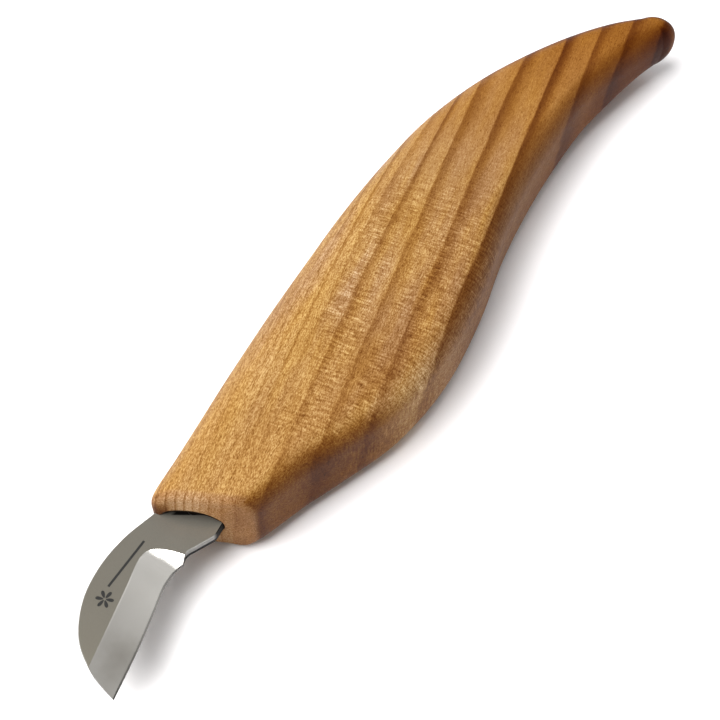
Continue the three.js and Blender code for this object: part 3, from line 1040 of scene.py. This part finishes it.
def bevel_material():
    """The bevels: ground brighter, with faint lines across and a faint brown stain near the tip."""
    material, tree = new_tree("ground_bevel_steel")
    spot, place, _, _ = object_place(tree)
    line = noise(tree, spot, (1800, 260, 600), 2)
    cloud = noise(tree, spot, (220, 220, 220), 3)
    colour = mix(tree, cloud, (0.58, 0.56, 0.52, 1), (0.66, 0.645, 0.61, 1))
    towards_tip = stretch(tree, place, *places_along(0, BEVEL_TONE_X), 0.55, 0.12)
    colour = mix(tree, towards_tip, colour, (0.38, 0.362, 0.33, 1))
    away = add_node(tree, "ShaderNodeVectorMath", {0: spot, 1: to_frame(STAIN_SPOT)},
                    operation="DISTANCE").outputs["Value"]
    away = maths(tree, "MULTIPLY_ADD", cloud, STAIN_WOBBLE * MM, away)
    near, far = (reach * MM for reach in STAIN_REACH)
    colour = mix(tree, stretch(tree, away, near, far, 0.6, 0.0, smooth=True), colour,
                 (0.25, 0.228, 0.195, 1))
    bump = add_node(tree, "ShaderNodeBump", {"Strength": 0.06, "Distance": 0.004 * MM, "Height": line})
    roughness = stretch(tree, place, *places_along(0, BEVEL_ROUGH_X), 0.19, 0.27)
    shader(tree, {"Base Color": colour, "Metallic": 1.0, "Roughness": roughness,
                  "Normal": bump.outputs[0]})
    return material


def cut_edge_material():
    """The sides of the steel sheet: bright from grinding, with painted shade, near black, in the lower
    part and inside the mouth."""
    material, tree = new_tree("cut_steel_edge")
    spot, place, _, height = object_place(tree)
    streaks = noise(tree, spot, (1500, 1500, 400), 3)
    dark = mix(tree, streaks, (0.003, 0.003, 0.003, 1), (0.012, 0.012, 0.011, 1))
    bright = mix(tree, streaks, (0.22, 0.215, 0.20, 1), (0.40, 0.39, 0.37, 1))
    outside = stretch(tree, place, *places_along(0, MOUTH_EDGE_SHADE_X), 1.0, 0.0)
    upper = stretch(tree, height, *places_along(2, LOWER_EDGE_SHADE_Z))
    # painted shade: near black below the lower height and inside the mouth, bright elsewhere
    colour = mix(tree, product(tree, outside, upper), dark, bright)
    shader(tree, {"Base Color": colour, "Roughness": 0.5, "Specular IOR Level": 0.06})
    return material


def etched_material():
    """The ornament's etched steel, nearly black."""
    material, tree = new_tree("etched_steel")
    spot = object_place(tree)[0]
    clouds = noise(tree, spot, (4000, 4000, 4000), 2)
    colour = mix(tree, clouds, (0.008, 0.008, 0.008, 1), (0.030, 0.029, 0.027, 1))
    shader(tree, {"Base Color": colour, "Roughness": 0.6, "Specular IOR Level": 0.2})
    return material


def adhesive_material():
    """Cured adhesive, cloudy between amber and pale."""
    material, tree = new_tree("cured_adhesive")
    spot = object_place(tree)[0]
    clouds = noise(tree, spot, (400, 400, 400), 3)
    colour = mix(tree, clouds, (0.42, 0.30, 0.13, 1), (0.62, 0.52, 0.33, 1))
    shader(tree, {"Base Color": colour, "Roughness": 0.3})
    return material


# ---- the knife ------------------------------------------------------------------------------------

handle = make_handle()
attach(handle, "root")
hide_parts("handle")

blade = make_blade()
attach(blade, "root")
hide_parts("blade")

ornament = make_ornament()
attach(ornament, "root")

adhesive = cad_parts["tang_adhesive"]
adhesive.data.materials.clear()
adhesive.data.materials.append(adhesive_material())


# ---- stage ----------------------------------------------------------------------------------------

# Metres from the middle of the part.
FLOOR_HALF = 3.0
WASH_SPOT = (0, 0, 1.5)
WASH_SIZE = (2.4, 2.4)
WASH_RADIANCE = 0.55
KEY_SPOT = (-0.52, 0.22, 1.0)
KEY_SIZE = (0.7, 0.9)
KEY_RADIANCE = 11.0

# The studio: how bright it is at the horizon, all over the dome and in its round window.
HORIZON = 0.5
DOME = 0.36
WINDOW = 1.15
WINDOW_DIRECTION = (0.7, -0.1, 1.0)
WINDOW_EDGE = (0.895, 0.965)           # cosines of the angles over which the window sets in
HORIZON_FADE = (0.30, 0.65)            # heights over which the horizon's light fades
BELLY_SIDE_SHARE = 0.25                # how bright the belly side is
BELLY_SIDE_FADE = (-0.45, -0.15)


def make_floor():
    """The pale floor, and a soft light from straight above that reaches only the floor."""
    mesh = bpy.data.meshes.new("floor")
    corners = [(x * FLOOR_HALF, y * FLOOR_HALF, 0) for x, y in ((-1, -1), (1, -1), (1, 1), (-1, 1))]
    mesh.from_pydata(corners, [], [(0, 1, 2, 3)])
    floor = bpy.data.objects.new("floor", mesh)
    bpy.context.scene.collection.objects.link(floor)
    material, tree = new_tree("pale_floor")
    shader(tree, {"Base Color": (0.91, 0.895, 0.90, 1), "Roughness": 0.9, "Specular IOR Level": 0.0})
    mesh.materials.append(material)
    wash = area_light("floor_wash", WASH_SPOT, WASH_SIZE, WASH_RADIANCE)
    lit = bpy.data.collections.new("lit_floor")
    lit.objects.link(floor)
    wash.light_linking.receiver_collection = lit


def area_light(name, spot, size, radiance):
    """A rectangular soft light that faces the part: where it is, its two sides and its brightness."""
    data = bpy.data.lights.new(name, "AREA")
    data.shape = "RECTANGLE"
    data.size, data.size_y = size
    data.energy = radiance * math.pi * size[0] * size[1]
    light = bpy.data.objects.new(name, data)
    light.location = spot
    light.rotation_euler = (-Vector(spot)).to_track_quat("-Z", "Y").to_euler()
    bpy.context.scene.collection.objects.link(light)
    return light


def make_world():
    """A pale studio: an even dome, dark on the belly side, with a soft round window high up."""
    world = bpy.data.worlds.new("studio")
    world.use_nodes = True
    tree = world.node_tree
    tree.nodes.clear()
    direction = add_node(tree, "ShaderNodeTexCoord").outputs["Generated"]
    _, side, height = add_node(tree, "ShaderNodeSeparateXYZ", {0: direction}).outputs
    window_middle = Vector(WINDOW_DIRECTION).normalized()
    nearness = add_node(tree, "ShaderNodeVectorMath", {0: direction, 1: window_middle},
                        operation="DOT_PRODUCT").outputs["Value"]
    high = stretch(tree, nearness, *WINDOW_EDGE, DOME, WINDOW, smooth=True)
    low = stretch(tree, height, *HORIZON_FADE, HORIZON, 0.0, smooth=True)
    strength = product(tree, maths(tree, "MAXIMUM", high, low),
                       stretch(tree, side, *BELLY_SIDE_FADE, BELLY_SIDE_SHARE, 1.0, smooth=True))
    background = add_node(tree, "ShaderNodeBackground", {"Color": (1, 1, 1, 1), "Strength": strength})
    add_node(tree, "ShaderNodeOutputWorld", {"Surface": background.outputs[0]})
    bpy.context.scene.world = world


def make_camera():
    """The photo's view."""
    data = bpy.data.cameras.new("camera")
    data.lens = CAMERA_LENS
    data.sensor_width = CAMERA_SENSOR
    data.clip_start = 0.01
    data.clip_end = 20
    camera = bpy.data.objects.new("camera", data)
    camera.location = to_frame(CAMERA_SPOT)
    camera.rotation_euler = Vector(CAMERA_FORWARD).to_track_quat("-Z", "Y").to_euler()
    bpy.context.scene.collection.objects.link(camera)
    bpy.context.scene.camera = camera


make_floor()
make_world()
area_light("key", KEY_SPOT, KEY_SIZE, KEY_RADIANCE)
make_camera()
bpy.context.scene.view_settings.view_transform = "Standard"
